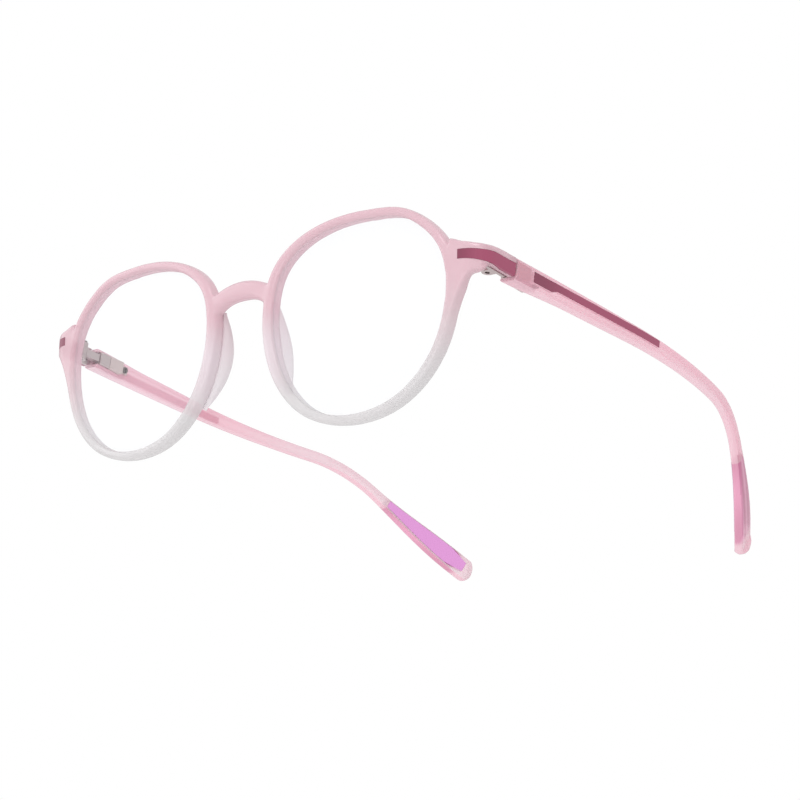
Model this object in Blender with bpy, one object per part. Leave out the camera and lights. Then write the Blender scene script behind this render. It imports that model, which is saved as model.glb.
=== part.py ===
"""Round crown spectacles with plano lenses and sprung temples.

The front stands in the XZ plane and faces -Y, the temples run back to +Y, the wearer's left is +X.
Sizes and meshes are in millimetres until main() scales them to metres by MM.
"""

import math

import bmesh
import bpy
import numpy as np
from mathutils import Matrix

MM = 0.001
SMALLEST = 0.002  # points nearer than this are one point

# front
LENS_CENTRE_X = 34.5
LENS_OUTLINE = (
    (24.0, 0.0), (24.0, 6.0), (22.4, 11.2), (16.6, 17.5), (11.6, 20.2), (5.0, 21.2),
    (-4.0, 21.3), (-11.2, 20.1), (-17.4, 17.5), (-22.2, 13.0), (-24.1, 6.4), (-23.8, -1.0),
    (-20.4, -10.4), (-12.2, -18.6), (0.0, -21.4), (12.2, -18.4), (20.4, -10.6),
)  # of one lens opening, about its centre, with +x towards the temple
FRONT_CURVE = 0.0006  # how fast the front falls back from its middle, per mm
RIM_STATIONS = 52
RIM_DEPTH = 3.6
RIM_FACE = 2.05
RIM_NASAL_EXTRA = 0.85
RIM_NASAL_TURN = 185
RIM_ROUND = 0.75
GROOVE_DEPTH = 0.6
GROOVE_WIDTH = 1.1
LENS_THICKNESS = 1.8
LENS_CLEARANCE = 0.06
LENS_DOME = 1.1
BRIDGE_HALF = 9.6
BRIDGE_TOP = 13.6
BRIDGE_UNDER = 9.1
BRIDGE_FALL = (2.6, 4.2)  # of its top and its underside from the middle to the rims
BRIDGE_DEPTH = 3.3

# end pieces, as seen from above: out along the front, round the corner, back to the temple
END_START = (59.3, 2.15)
END_HEADING = 4.0
END_FRONT_RUN = 3.0
END_CORNER_RADIUS = 5.8
TEMPLE_SPLAY = 3.5
END_FRONT_THICKNESS = 3.4
END_SIDE_THICKNESS = 2.4
END_ROOT_HEIGHT = 7.6
END_SIDE_HEIGHT = 5.4
END_TAPER = 0.015
END_CROWN = 0.35  # extra height over the corner
END_STEP = (1.2, 0.6)  # how far the underside steps up past the corner, and falls again
END_FLARE = (0.3, 0.25)  # how fast the root spreads into the rim, above and below
END_ROOT_Z = 8.6

# hinge axis, square to the temple, and the temple's slope below the front's normal
PIVOT = (64.2, 9.8, 8.5)
TEMPLE_SLOPE = 8.6
BUTT_Y = 4.4  # the end piece stops here, behind the hinge axis
BUTT_GAP = 0.5

# temple, in its own frame: y back from the hinge axis, x outward, z up
TEMPLE_OUTER_X = 4.0
TEMPLE_THICKNESS = 3.3
TEMPLE_BUTT_THICKNESS = 4.6
TEMPLE_THINNED_Y = 24.0
TEMPLE_STRAIGHT = 44.0
TEMPLE_BOW_RADIUS = 135.0
TEMPLE_LENGTH = 132.5  # from the hinge axis back to where the tip rounds off
TEMPLE_BUTT_HEIGHT = 4.9
TEMPLE_WAIST_HEIGHT = 3.0
TIP_HEIGHT = 7.0
TIP_THICKNESS = 2.7
BEND_START = 86.0
BEND_RADIUS = 39.0
BEND_ANGLE = 31.0

# coloured strips let into the outer faces
INLAY_DEPTH = 0.7
INLAY_CLEARANCE = 0.06
FRONT_INLAY_START = 2.6
FRONT_INLAY_HEIGHT = (2.0, 2.9)
FRONT_INLAY_RISE = 0.6
FRONT_INLAY_FALL = 0.5
TEMPLE_INLAY_START = 10.2
TEMPLE_INLAY_STEP = 16.6
TEMPLE_INLAY_END = 54.0
TEMPLE_INLAY_HEIGHT = (2.3, 1.6)
TEMPLE_INLAY_RISE = 0.05

# soft pads let into the inner faces of the tips
TIP_PAD_START = 109.5
TIP_PAD_MARGIN = 0.7
TIP_PAD_DEPTH = 1.0
TIP_PAD_END = 1.0

# nose pads
PAD_TOP = 8.0
PAD_BOTTOM = -14.0
PAD_REACH = 3.9
PAD_WIDTH = 3.6

# hinge
BARREL_RADIUS = 1.3
BARREL_HALF_HEIGHT = 2.2
KNUCKLE_HALF = 0.95
KNUCKLE_CLEARANCE = 0.06
SCREW_RADIUS = 0.5
SCREW_CLEARANCE = 0.05
SMALL_HEAD = (0.8, 0.4)  # radius and height
PIVOT_HEAD = (0.95, 0.45)
LEAF_X = BARREL_RADIUS + 0.1
LEAF_THICKNESS = 0.7
LEAF_FRONT = -3.7
LEAF_BACK = 3.2
LEAF_SCREW_Y = -2.4
LEAF_SCREW_LENGTH = 1.1
ARM_X = (-0.6, 0.9)
ROD_RADIUS = 0.55
ROD_CLEARANCE = 0.05
BOX_START = 5.5
BOX_SPLIT = 8.8
BOX_END = 13.2
BOX_INNER_X = -1.0
BOX_OUTER_X = 1.4
BOX_HALF_HEIGHT = 1.6
CHAMBER_START = 7.4
CHAMBER_RADIUS = 1.0
NUT_RADIUS = 0.9
NUT_LENGTH = 0.7
NUT_INSET = 0.6  # of its outer end inside the housing's back face
SPRING_RADIUS = 0.78
SPRING_WIRE = 0.22
SPRING_TURNS = 6
TONGUE_LENGTH = 2.2
TONGUE_SCREW = 1.25
TONGUE_THICKNESS = 0.6
TONGUE_INNER_X = 0.1
TONGUE_HALF = 1.0
TONGUE_SCREW_LENGTH = 2.0
POCKET_CLEARANCE = 0.06

PINK = (0.80, 0.45, 0.56)
CLEAR = (0.78, 0.74, 0.77)
MAGENTA = (0.33, 0.07, 0.16)
ORCHID = (0.72, 0.36, 0.72)
STEEL = (0.42, 0.38, 0.36)
BEIGE = (0.62, 0.54, 0.48)


# ---------------------------------------------------------------- curves


def natural_spline(knots, values, where):
    """The natural cubic spline through values at knots, read at where."""
    knots, values = np.asarray(knots, float), np.asarray(values, float)
    step = np.diff(knots)
    size = len(knots)
    system, right = np.eye(size), np.zeros(size)
    for i in range(1, size - 1):
        system[i, i - 1 : i + 2] = step[i - 1], 2 * (step[i - 1] + step[i]), step[i]
        slopes = np.diff(values[i - 1 : i + 2]) / step[i - 1 : i + 1]
        right[i] = 6 * (slopes[1] - slopes[0])
    bend = np.linalg.solve(system, right)
    i = np.clip(np.searchsorted(knots, where, side="right") - 1, 0, size - 2)
    h, a, b = step[i], knots[i + 1] - where, where - knots[i]
    return (
        (bend[i] * a**3 + bend[i + 1] * b**3) / (6 * h)
        + (values[i] / h - bend[i] * h / 6) * a
        + (values[i + 1] / h - bend[i + 1] * h / 6) * b
    )


def closed_outline(points, count):
    """count points and outward normals on a smooth closed curve through points."""
    wrap = 4
    ring = np.array(points[-wrap:] + points + points[:wrap])
    chord = np.linalg.norm(np.diff(ring, axis=0), axis=1)
    knots = np.concatenate([[0], np.cumsum(chord)])
    first, last = knots[wrap], knots[-wrap]
    where = np.linspace(first, last, count, endpoint=False)
    curve = np.stack([natural_spline(knots, ring[:, i], where) for i in (0, 1)], 1)
    along = np.roll(curve, -1, 0) - np.roll(curve, 1, 0)
    along /= np.linalg.norm(along, axis=1)[:, None]
    return curve, np.stack([along[:, 1], -along[:, 0]], 1)


def ease(low, high, where):
    """0 below low and 1 above high, with level ends."""
    t = np.clip((where - low) / (high - low), 0, 1)
    return t * t * (3 - 2 * t)


def rounded_box(half_a, half_b, radius, corner=2):
    """A rounded rectangle's points, anticlockwise about the origin."""
    radius = min(radius, half_a * 0.95, half_b * 0.95)
    points = []
    for quarter in range(4):
        sign_a = (1, -1, -1, 1)[quarter]
        sign_b = (1, 1, -1, -1)[quarter]
        for step in range(corner + 1):
            turn = math.radians(90 * quarter + 90 * step / corner)
            points.append((
                sign_a * (half_a - radius) + radius * math.cos(turn),
                sign_b * (half_b - radius) + radius * math.sin(turn),
            ))
    return points


# ---------------------------------------------------------------- meshes


def material(name, colour, roughness=0.35, metallic=0.0, alpha=1.0):
    made = bpy.data.materials.get(name)
    if made:
        return made
    made = bpy.data.materials.new(name)
    made.use_nodes = True
    shader = made.node_tree.nodes["Principled BSDF"]
    shader.inputs["Base Color"].default_value = (*colour, 1)
    shader.inputs["Roughness"].default_value = roughness
    shader.inputs["Metallic"].default_value = metallic
    shader.inputs["Alpha"].default_value = alpha
    made.diffuse_color = (*colour, alpha)
    return made


def mesh_of(points, faces):
    """A mesh with its faces turned outwards."""
    mesh = bpy.data.meshes.new("piece")
    mesh.from_pydata([tuple(float(c) for c in p) for p in points], [], faces)
    work = bmesh.new()
    work.from_mesh(mesh)
    bmesh.ops.recalc_face_normals(work, faces=work.faces)
    work.to_mesh(mesh)
    work.free()
    return mesh


def loft(rings, loop=False):
    """A closed solid through rings of equally many points, capped unless it closes on itself."""
    count = len(rings[0])
    points = [p for ring in rings for p in ring]
    faces = []
    for i in range(len(rings) - (0 if loop else 1)):
        here, there = i * count, (i + 1) % len(rings) * count
        for j in range(count):
            k = (j + 1) % count
            faces.append((here + j, here + k, there + k, there + j))
    if not loop:
        faces.append(tuple(range(count)))
        faces.append(tuple((len(rings) - 1) * count + j for j in range(count)))
    return mesh_of(points, faces)


def box(low, high, bevel=0.0):
    """A box between two corners, with its edges rounded over where bevel is given."""
    centre = [(a + b) / 2 for a, b in zip(low, high)]
    size = [b - a for a, b in zip(low, high)]
    work = bmesh.new()
    bmesh.ops.create_cube(work, size=1)
    bmesh.ops.scale(work, vec=size, verts=work.verts)
    bmesh.ops.translate(work, vec=centre, verts=work.verts)
    if bevel:
        bmesh.ops.bevel(
            work, geom=work.edges[:], offset=bevel, segments=2, affect="EDGES", profile=0.5
        )
    mesh = bpy.data.meshes.new("box")
    work.to_mesh(mesh)
    work.free()
    return mesh


def rod(radius, start, end, axis, at, sides=20):
    """A cylinder along one axis from start to end; at holds its other two coordinates."""
    other = [i for i in range(3) if i != axis]
    rings = []
    for place in (start, end):
        ring = []
        for i in range(sides):
            turn = math.tau * i / sides
            point = [0.0, 0.0, 0.0]
            point[axis] = place
            point[other[0]] = at[0] + radius * math.cos(turn)
            point[other[1]] = at[1] + radius * math.sin(turn)
            ring.append(point)
        rings.append(ring)
    return loft(rings)


def mirrored(mesh):
    """A copy of mesh on the other side of the YZ plane."""
    copy = mesh.copy()
    copy.transform(Matrix.Diagonal((-1, 1, 1, 1)))
    copy.flip_normals()
    return copy


def combined(mesh, others, operation):
    """mesh after a Boolean operation with each of the other meshes in turn."""
    scene = bpy.context.scene
    for other in others:
        base = bpy.data.objects.new("base", mesh)
        tool = bpy.data.objects.new("tool", other)
        scene.collection.objects.link(base)
        scene.collection.objects.link(tool)
        cut = base.modifiers.new("cut", "BOOLEAN")
        cut.operation, cut.solver, cut.object = operation, "EXACT", tool
        graph = bpy.context.evaluated_depsgraph_get()
        mesh = bpy.data.meshes.new_from_object(base.evaluated_get(graph))
        bpy.data.objects.remove(base)
        bpy.data.objects.remove(tool)
        work = bmesh.new()
        work.from_mesh(mesh)
        bmesh.ops.remove_doubles(work, verts=work.verts, dist=SMALLEST)
        bmesh.ops.dissolve_degenerate(work, edges=work.edges, dist=SMALLEST)
        work.to_mesh(mesh)
        work.free()
    return mesh


def join(mesh, *others):
    return combined(mesh, others, "UNION")


def cut(mesh, *others):
    return combined(mesh, others, "DIFFERENCE")


def piece(name, mesh, look, parent):
    """An object of its own for one piece, shaded smooth with sharp creases."""
    mesh.materials.clear()
    mesh.materials.append(look)
    mesh.shade_smooth()
    mesh.set_sharp_from_angle(angle=math.radians(35))
    made = bpy.data.objects.new(name, mesh)
    made.parent = parent
    bpy.context.scene.collection.objects.link(made)
    return made


# ---------------------------------------------------------------- front


def rim_face(outline):
    """How wide the rim's face is beside each point of the lens outline: widest beside the nose."""
    turn = np.arctan2(outline[:, 1], outline[:, 0])
    beside_nose = np.clip(np.cos(turn - math.radians(RIM_NASAL_TURN)), 0, 1) ** 2.5
    return RIM_FACE + RIM_NASAL_EXTRA * beside_nose


def front_y(x):
    return FRONT_CURVE * x * x


def lens_rings(sections, stations=RIM_STATIONS):
    """Rings round the lens: sections gives (outward, back) points from the face's width."""
    outline, normal = closed_outline(list(LENS_OUTLINE), stations)
    width = rim_face(outline)
    rings = []
    for i in range(stations):
        ring = []
        for out, back in sections(width[i]):
            x, z = outline[i] + normal[i] * out
            x += LENS_CENTRE_X
            ring.append((x, front_y(x) + back, z))
        rings.append(ring)
    return rings


def rim():
    """One rim: a ring of rounded section with the lens groove inside."""
    mid = RIM_DEPTH / 2
    half = GROOVE_WIDTH / 2
    small = 0.3
    deep = RIM_ROUND * 0.3

    def section(width):
        return [
            (0, mid - half), (0, small), (small, 0),
            (width - RIM_ROUND, 0), (width - deep, deep), (width, RIM_ROUND),
            (width, RIM_DEPTH - RIM_ROUND), (width - deep, RIM_DEPTH - deep),
            (width - RIM_ROUND, RIM_DEPTH),
            (small, RIM_DEPTH), (0, RIM_DEPTH - small), (0, mid + half), (GROOVE_DEPTH, mid),
        ]

    return loft(lens_rings(section), loop=True)


def lens():
    """One lens: domed front and back faces inside a pointed bevel that fits the groove."""
    outline, normal = closed_outline(list(LENS_OUTLINE), RIM_STATIONS)
    mid = RIM_DEPTH / 2
    half = LENS_THICKNESS / 2
    tip = GROOVE_DEPTH - LENS_CLEARANCE * 1.6
    rings = []

    def ring(scale, out, back):
        points = []
        for place, away in zip(outline, normal):
            x, z = place * scale + away * out
            x += LENS_CENTRE_X
            points.append((x, front_y(x) + back, z))
        return points

    shares = (0.35, 0.7, 1.0)
    for share in shares:
        back = mid - half - LENS_DOME * (1 - share**2)
        rings.append(ring(share, -LENS_CLEARANCE if share == 1 else 0, back))
    rings.append(ring(1, -LENS_CLEARANCE, mid - GROOVE_WIDTH / 2))
    rings.append(ring(1, tip, mid))
    rings.append(ring(1, -LENS_CLEARANCE, mid + GROOVE_WIDTH / 2))
    for share in reversed(shares):
        back = mid + half - LENS_DOME * (1 - share**2)
        rings.append(ring(share, -LENS_CLEARANCE if share == 1 else 0, back))
    return loft(rings)


def bridge():
    """The arched bridge, ending inside both rims."""
    rings = []
    for x in np.linspace(-BRIDGE_HALF, BRIDGE_HALF, 17):
        share = (x / BRIDGE_HALF) ** 2
        top = BRIDGE_TOP - BRIDGE_FALL[0] * share
        under = BRIDGE_UNDER - BRIDGE_FALL[1] * share**1.4
        middle = front_y(x) + RIM_DEPTH / 2
        rings.append([
            (x, middle + a, (top + under) / 2 + b)
            for a, b in rounded_box(BRIDGE_DEPTH / 2, (top - under) / 2, 1.3)
        ])
    return loft(rings)


def end_turn():
    return 90 - TEMPLE_SPLAY - END_HEADING


def end_corner():
    """How far along the end piece's outer face its corner starts and ends."""
    return END_FRONT_RUN, END_FRONT_RUN + END_CORNER_RADIUS * math.radians(end_turn())


def end_place(along):
    """The outer face's plan point and inward direction, along mm from its start on the front."""
    first, last = end_corner()
    heading = math.radians(END_HEADING)
    ahead = np.array([math.cos(heading), math.sin(heading)])
    left = np.array([-ahead[1], ahead[0]])
    turn = (min(max(along, first), last) - first) / END_CORNER_RADIUS
    place = np.array(END_START) + ahead * min(along, first)
    place += END_CORNER_RADIUS * (ahead * math.sin(turn) + left * (1 - math.cos(turn)))
    onward = ahead * math.cos(turn) + left * math.sin(turn)
    inward = left * math.cos(turn) - ahead * math.sin(turn)
    return place + onward * max(0.0, along - last), inward


def end_middle_z(along):
    """The end piece's mid height: level at the front, then falling with the temple."""
    first, last = end_corner()
    fall = math.tan(math.radians(TEMPLE_SLOPE)) * max(0.0, along - last)
    return END_ROOT_Z - 0.25 * ease(0, last, along) - 0.45 * fall


def end_edges(along):
    """The end piece's underside and top: they spread into the rim and step up past the corner."""
    last = end_corner()[1]
    share = ease(0, last, along)
    half = (END_ROOT_HEIGHT + (END_SIDE_HEIGHT - END_ROOT_HEIGHT) * share) / 2
    half -= END_TAPER * max(0.0, along - last)
    middle = end_middle_z(along)
    top = middle + half + END_FLARE[0] * max(0.0, 3 - along)
    top += END_CROWN * ease(5, last, along) * (1 - ease(last + 2, last + 7, along))
    low = middle - half - END_FLARE[1] * max(0.0, 6.6 - along) ** 2
    low += END_STEP[0] * ease(last - 2.6, last - 1.2, along)
    low -= END_STEP[1] * ease(last - 1.2, last + 6, along)
    return low, top


def butt_cutter():
    """A block behind the butt plane."""
    block = box((-20, BUTT_Y, -30), (20, 60, 30))
    block.transform(pivot_matrix())
    return block


def end_strip(grow=0.0, proud=0.0):
    """The strip in the end piece's outer face, from the front round to past the butt plane."""
    last = end_corner()[1]
    rings = []
    for along in np.arange(FRONT_INLAY_START - grow, last + 11, 1.1):
        share = ease(FRONT_INLAY_START, last + 4, along)
        low, high = FRONT_INLAY_HEIGHT
        half = (low + (high - low) * share) / 2 + grow
        z = end_middle_z(along) + FRONT_INLAY_RISE * (1 - share)
        z -= FRONT_INLAY_FALL * ease(last - 1, last + 6, along)
        place, inward = end_place(along)
        front = place - inward * proud
        back = place + inward * (INLAY_DEPTH + grow)
        rings.append([
            (*front, z - half), (*back, z - half), (*back, z + half), (*front, z + half),
        ])
    return loft(rings)


def end_piece():
    """One end piece: out from the rim, round the corner and back to the butt plane."""
    last = end_corner()[1]
    rings = []
    for along in np.arange(0, last + 12, 1.0):
        place, inward = end_place(along)
        thin = ease(last - 4, last + 1, along)
        thick = END_FRONT_THICKNESS + (END_SIDE_THICKNESS - END_FRONT_THICKNESS) * thin
        middle = place + inward * thick / 2
        low, top = end_edges(along)
        rings.append([
            (*(middle + inward * a), (low + top) / 2 + b)
            for a, b in rounded_box(thick / 2, (top - low) / 2, 0.7)
        ])
    return cut(loft(rings), butt_cutter())


def pivot_matrix():
    """From the temple's frame to the front's frame."""
    return Matrix.Translation(PIVOT) @ Matrix.Rotation(
        math.radians(-TEMPLE_SLOPE), 4, "X"
    )


def in_front_frame(mesh):
    mesh.transform(pivot_matrix())
    return mesh


def front_half():
    """A rim with its end piece, cut for the inlay, the hinge leaf and its screw."""
    half = join(rim(), end_piece())
    groove = end_strip(INLAY_CLEARANCE, 1.0)
    p = POCKET_CLEARANCE
    seat = in_front_frame(
        box(
            (-4.0, LEAF_FRONT - p, -BARREL_HALF_HEIGHT - p),
            (LEAF_X + LEAF_THICKNESS + p, LEAF_BACK + 2.5, BARREL_HALF_HEIGHT + p),
        )
    )
    hole = in_front_frame(
        rod(SCREW_RADIUS + SCREW_CLEARANCE, 0, LEAF_X + LEAF_SCREW_LENGTH + 0.1, 0, (LEAF_SCREW_Y, 0))
    )
    return cut(half, seat, hole, groove)


def front_frame():
    half = front_half()
    return join(half, mirrored(half), bridge())


def nose_pad():
    """A bonded pad: a wedge on the rim's nasal edge that reaches back beside the nose."""
    outline, normal = closed_outline(list(LENS_OUTLINE), 240)
    width = rim_face(outline)
    seat = outline + normal * width[:, None]
    nasal = [i for i in range(240) if outline[i, 0] < -6 and PAD_BOTTOM < seat[i, 1] < PAD_TOP]
    rings = []
    for i in nasal[:: max(1, len(nasal) // 14)]:
        x, z = seat[i]
        x += LENS_CENTRE_X
        share = (z - PAD_BOTTOM) / (PAD_TOP - PAD_BOTTOM)
        swell = math.sin(math.pi * min(max(share, 0.03), 0.97)) ** 0.8
        reach = 0.4 + PAD_REACH * swell
        wide = 1.1 + (PAD_WIDTH - 1.1) * swell
        away = normal[i]
        base = front_y(x) + RIM_DEPTH + 0.05

        def at(inward, back):
            return (x - away[0] * inward, base + back, z - away[1] * inward)

        rings.append([
            at(-0.1, 0), at(-0.35, reach * 0.4), at(0.05 * wide, reach * 0.85),
            at(0.35 * wide, reach), at(0.65 * wide, reach * 0.9),
            at(0.85 * wide, reach * 0.5), at(0.85 * wide, 0),
        ])
    return loft(rings)


# ---------------------------------------------------------------- temple


def temple_stations(first, last, spacing=4.0):
    """Places along the temple: outer x, centre z, tilt of the section, height and thickness."""
    bend_end = BEND_START + BEND_RADIUS * math.sin(math.radians(BEND_ANGLE))
    marks = [first, last, TEMPLE_STRAIGHT, BEND_START, bend_end]
    marks += list(np.arange(first, last, spacing))
    ys = sorted({round(y, 3) for y in marks if first <= y <= last})
    ys = [y for i, y in enumerate(ys) if i == 0 or y - ys[i - 1] > 0.05]
    stations = []
    for y in ys:
        splay = math.tan(math.radians(TEMPLE_SPLAY))
        x = TEMPLE_OUTER_X + splay * (y - BUTT_Y)
        x -= max(0.0, y - TEMPLE_STRAIGHT) ** 2 / (2 * TEMPLE_BOW_RADIUS)
        inside = min(max(y - BEND_START, 0.0), bend_end - BEND_START)
        tilt = math.asin(inside / BEND_RADIUS)
        z = -BEND_RADIUS * (1 - math.cos(tilt)) - max(0.0, y - bend_end) * math.tan(tilt)
        waist = ease(BUTT_Y, 80, y)
        tip = ease(BEND_START + 18, TEMPLE_LENGTH - 4, y)
        thin = ease(60, BEND_START + 18, y)
        height = TEMPLE_BUTT_HEIGHT + (TEMPLE_WAIST_HEIGHT - TEMPLE_BUTT_HEIGHT) * waist
        height += (TIP_HEIGHT - TEMPLE_WAIST_HEIGHT) * tip
        butt = 1 - ease(BUTT_Y, TEMPLE_THINNED_Y, y)
        thick = TEMPLE_THICKNESS + (TIP_THICKNESS - TEMPLE_THICKNESS) * thin
        thick += (TEMPLE_BUTT_THICKNESS - TEMPLE_THICKNESS) * butt
        stations.append((y, x, z, tilt, height, thick))
    return stations


def temple_ring(station, shape):
    """Places shape's (inward, up) points on a station, measured from its outer face's middle."""
    y, x, z, tilt, _, _ = station
    return [
        (x - inward, y + up * math.sin(tilt), z + up * math.cos(tilt)) for inward, up in shape
    ]


def temple_arm():
    """The arm, with its grooves, its recess for the pad and its pocket for the spring box."""
    start = BUTT_Y + BUTT_GAP
    rings = []
    for station in temple_stations(start, TEMPLE_LENGTH):
        height, thick = station[4:]
        shape = [
            (thick / 2 - a, b) for a, b in rounded_box(thick / 2, height / 2, 0.95)
        ]
        rings.append(temple_ring(station, shape))
    end = temple_stations(start, TEMPLE_LENGTH)[-1]
    for grow, reach in ((0.9, 0.9), (0.68, 1.8), (0.35, 2.4)):
        y, x, z, tilt, height, thick = end
        step = (y + reach * math.cos(tilt), x, z - reach * math.sin(tilt), tilt, height, thick)
        shape = [
            (thick / 2 - a, b)
            for a, b in rounded_box(thick / 2 * (0.5 + grow / 2), height / 2 * grow, 0.95)
        ]
        rings.append(temple_ring(step, shape))
    p = POCKET_CLEARANCE
    pocket = box(
        (-6.0, start - 2, -BOX_HALF_HEIGHT - p), (BOX_OUTER_X + p, BOX_END + p, BOX_HALF_HEIGHT + p)
    )
    tongue = box(
        (-6.0, BOX_END - 1, -TONGUE_HALF - p),
        (
            TONGUE_INNER_X + TONGUE_THICKNESS + p,
            BOX_END + TONGUE_LENGTH + p,
            TONGUE_HALF + p,
        ),
    )
    screw = rod(
        SCREW_RADIUS + SCREW_CLEARANCE, -2, TONGUE_INNER_X + TONGUE_SCREW_LENGTH + 0.1, 0,
        (BOX_END + TONGUE_SCREW, 0),
    )
    return cut(
        loft(rings), temple_strip(INLAY_CLEARANCE, 1.0), tip_pad(INLAY_CLEARANCE, 2.0),
        pocket, tongue, screw,
    )


def temple_strip(grow=0.0, proud=0.0):
    """The outer inlay: a wide start that steps down to a narrow strip, flush with the arm."""
    wide, narrow = (h / 2 for h in TEMPLE_INLAY_HEIGHT)
    rings = []
    stations = temple_stations(TEMPLE_INLAY_START - grow, TEMPLE_INLAY_END + grow, 4.0)
    for y in (TEMPLE_INLAY_STEP - 0.3, TEMPLE_INLAY_STEP + 0.3):
        stations += [s for s in temple_stations(y, y + 0.01) if s[0] == y]
    for station in sorted(stations):
        under = wide if station[0] < TEMPLE_INLAY_STEP else wide - 2 * (wide - narrow)
        top, low = wide + grow, -under - grow
        outer, inner = -proud, INLAY_DEPTH + grow
        shape = [(outer, low), (inner, low), (inner, top), (outer, top)]
        shape = [(a, b + TEMPLE_INLAY_RISE) for a, b in shape]
        rings.append(temple_ring(station, shape))
    return loft(rings)


def tip_pad(grow=0.0, proud=0.0):
    """The soft pad of the inner face, from its crisp start to just short of the tip."""
    rings = []
    stations = temple_stations(TIP_PAD_START - grow, TEMPLE_LENGTH - TIP_PAD_END + grow, 2.5)
    last = stations[-1][0]
    for station in stations:
        height, thick = station[4:]
        half = height / 2 - TIP_PAD_MARGIN
        half *= 1 - 0.45 * ease(last - 4, last, station[0])
        half += grow
        deep = thick - TIP_PAD_DEPTH - grow
        shape = [(deep, -half), (thick + proud, -half), (thick + proud, half), (deep, half)]
        rings.append(temple_ring(station, shape))
    return loft(rings)


# ---------------------------------------------------------------- hinge, in the temple's frame


def hinge_leaf():
    """The leaf on the end piece, with two knuckles and a hole for its screw."""
    inner = LEAF_X - 0.05
    plate = box(
        (inner, LEAF_FRONT, -BARREL_HALF_HEIGHT),
        (LEAF_X + LEAF_THICKNESS, LEAF_BACK, BARREL_HALF_HEIGHT),
    )
    low = KNUCKLE_HALF + KNUCKLE_CLEARANCE
    knuckles = []
    for sign in (1, -1):
        ends = sorted((sign * low, sign * BARREL_HALF_HEIGHT))
        knuckle = rod(BARREL_RADIUS, *ends, 2, (0, 0))
        web = box((0.2, -BARREL_RADIUS * 0.98, ends[0]), (LEAF_X + 0.3, BARREL_RADIUS * 0.98, ends[1]))
        knuckles.append(join(knuckle, web))
    bore = rod(SCREW_RADIUS + SCREW_CLEARANCE, -5, 5, 2, (0, 0))
    hole = rod(SCREW_RADIUS + SCREW_CLEARANCE, 0, 5, 0, (LEAF_SCREW_Y, 0))
    return cut(join(plate, *knuckles), bore, hole)


def screw(length, head_radius, head_height):
    """A slotted screw along Z: its head's underside is at z = 0 and its shank goes down."""
    head = rod(head_radius, 0, head_height, 2, (0, 0))
    shank = rod(SCREW_RADIUS, -length, 0.1, 2, (0, 0))
    slot = box((-2, -0.13, head_height * 0.5), (2, 0.13, 2))
    return cut(join(head, shank), slot)


def pivot_screw():
    made = screw(2 * BARREL_HALF_HEIGHT - 0.4, *PIVOT_HEAD)
    made.transform(Matrix.Translation((0, 0, BARREL_HALF_HEIGHT + 0.03)))
    return made


def sideways_screw(length, y, x):
    """A screw driven outward from the inner side, its head's underside at x."""
    made = screw(length, *SMALL_HEAD)
    made.transform(Matrix.Translation((x, y, 0)) @ Matrix.Rotation(math.radians(-90), 4, "Y"))
    return made


def hinge_slider():
    """The middle knuckle on its arm, with the rod that the spring pulls on."""
    knuckle = rod(BARREL_RADIUS, -KNUCKLE_HALF, KNUCKLE_HALF, 2, (0, 0))
    arm = box((ARM_X[0], 0, -KNUCKLE_HALF), (ARM_X[1], BOX_START - 0.1, KNUCKLE_HALF))
    bar = rod(ROD_RADIUS, BOX_START - 1, BOX_END - 0.5, 1, (rod_x(), 0))
    bore = rod(SCREW_RADIUS + SCREW_CLEARANCE, -5, 5, 2, (0, 0))
    return cut(join(knuckle, arm, bar), bore)


def rod_x():
    return sum(ARM_X) / 2


def box_shell(start, end, bore_radius, bore_end):
    """A block round the rod, with its edges eased and one bore from its front."""
    body = box(
        (BOX_INNER_X, start, -BOX_HALF_HEIGHT), (BOX_OUTER_X, end, BOX_HALF_HEIGHT), bevel=0.25
    )
    return cut(body, rod(bore_radius, start - 1, bore_end, 1, (rod_x(), 0)))


def spring_guide():
    """The front block: it guides the rod, then opens into the spring's chamber."""
    body = box_shell(BOX_START, BOX_SPLIT - 0.03, ROD_RADIUS + ROD_CLEARANCE, BOX_SPLIT + 1)
    return cut(body, rod(CHAMBER_RADIUS, CHAMBER_START, BOX_SPLIT + 1, 1, (rod_x(), 0)))


def spring_housing():
    """The rear block with the end of the chamber and the tongue that is screwed to the arm."""
    body = box_shell(BOX_SPLIT, BOX_END, CHAMBER_RADIUS, BOX_END - 0.3)
    tongue = box(
        (TONGUE_INNER_X, BOX_END - 0.3, -TONGUE_HALF),
        (TONGUE_INNER_X + TONGUE_THICKNESS, BOX_END + TONGUE_LENGTH, TONGUE_HALF),
    )
    hole = rod(SCREW_RADIUS + SCREW_CLEARANCE, -5, 5, 0, (BOX_END + TONGUE_SCREW, 0))
    return cut(join(body, tongue), hole)


def slider_nut():
    end = BOX_END - NUT_INSET
    ring = rod(NUT_RADIUS, end - NUT_LENGTH, end, 1, (rod_x(), 0))
    return cut(ring, rod(ROD_RADIUS + ROD_CLEARANCE, 0, 30, 1, (rod_x(), 0)))


def hinge_spring():
    """A coil on the rod between the guide and the nut."""
    start = CHAMBER_START + SPRING_WIRE
    end = BOX_END - NUT_INSET - NUT_LENGTH - SPRING_WIRE
    rings = []
    steps = SPRING_TURNS * 10
    for i in range(steps + 1):
        turn = math.tau * i / 10
        y = start + (end - start) * i / steps
        away = np.array([math.cos(turn), 0, math.sin(turn)])
        centre = np.array([rod_x(), y, 0]) + SPRING_RADIUS * away
        rings.append([
            centre + SPRING_WIRE / 2 * (math.cos(a) * away + math.sin(a) * np.array([0, 1, 0]))
            for a in (math.tau * k / 6 for k in range(5))
        ])
    return loft(rings)


# ---------------------------------------------------------------- assembly


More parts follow.
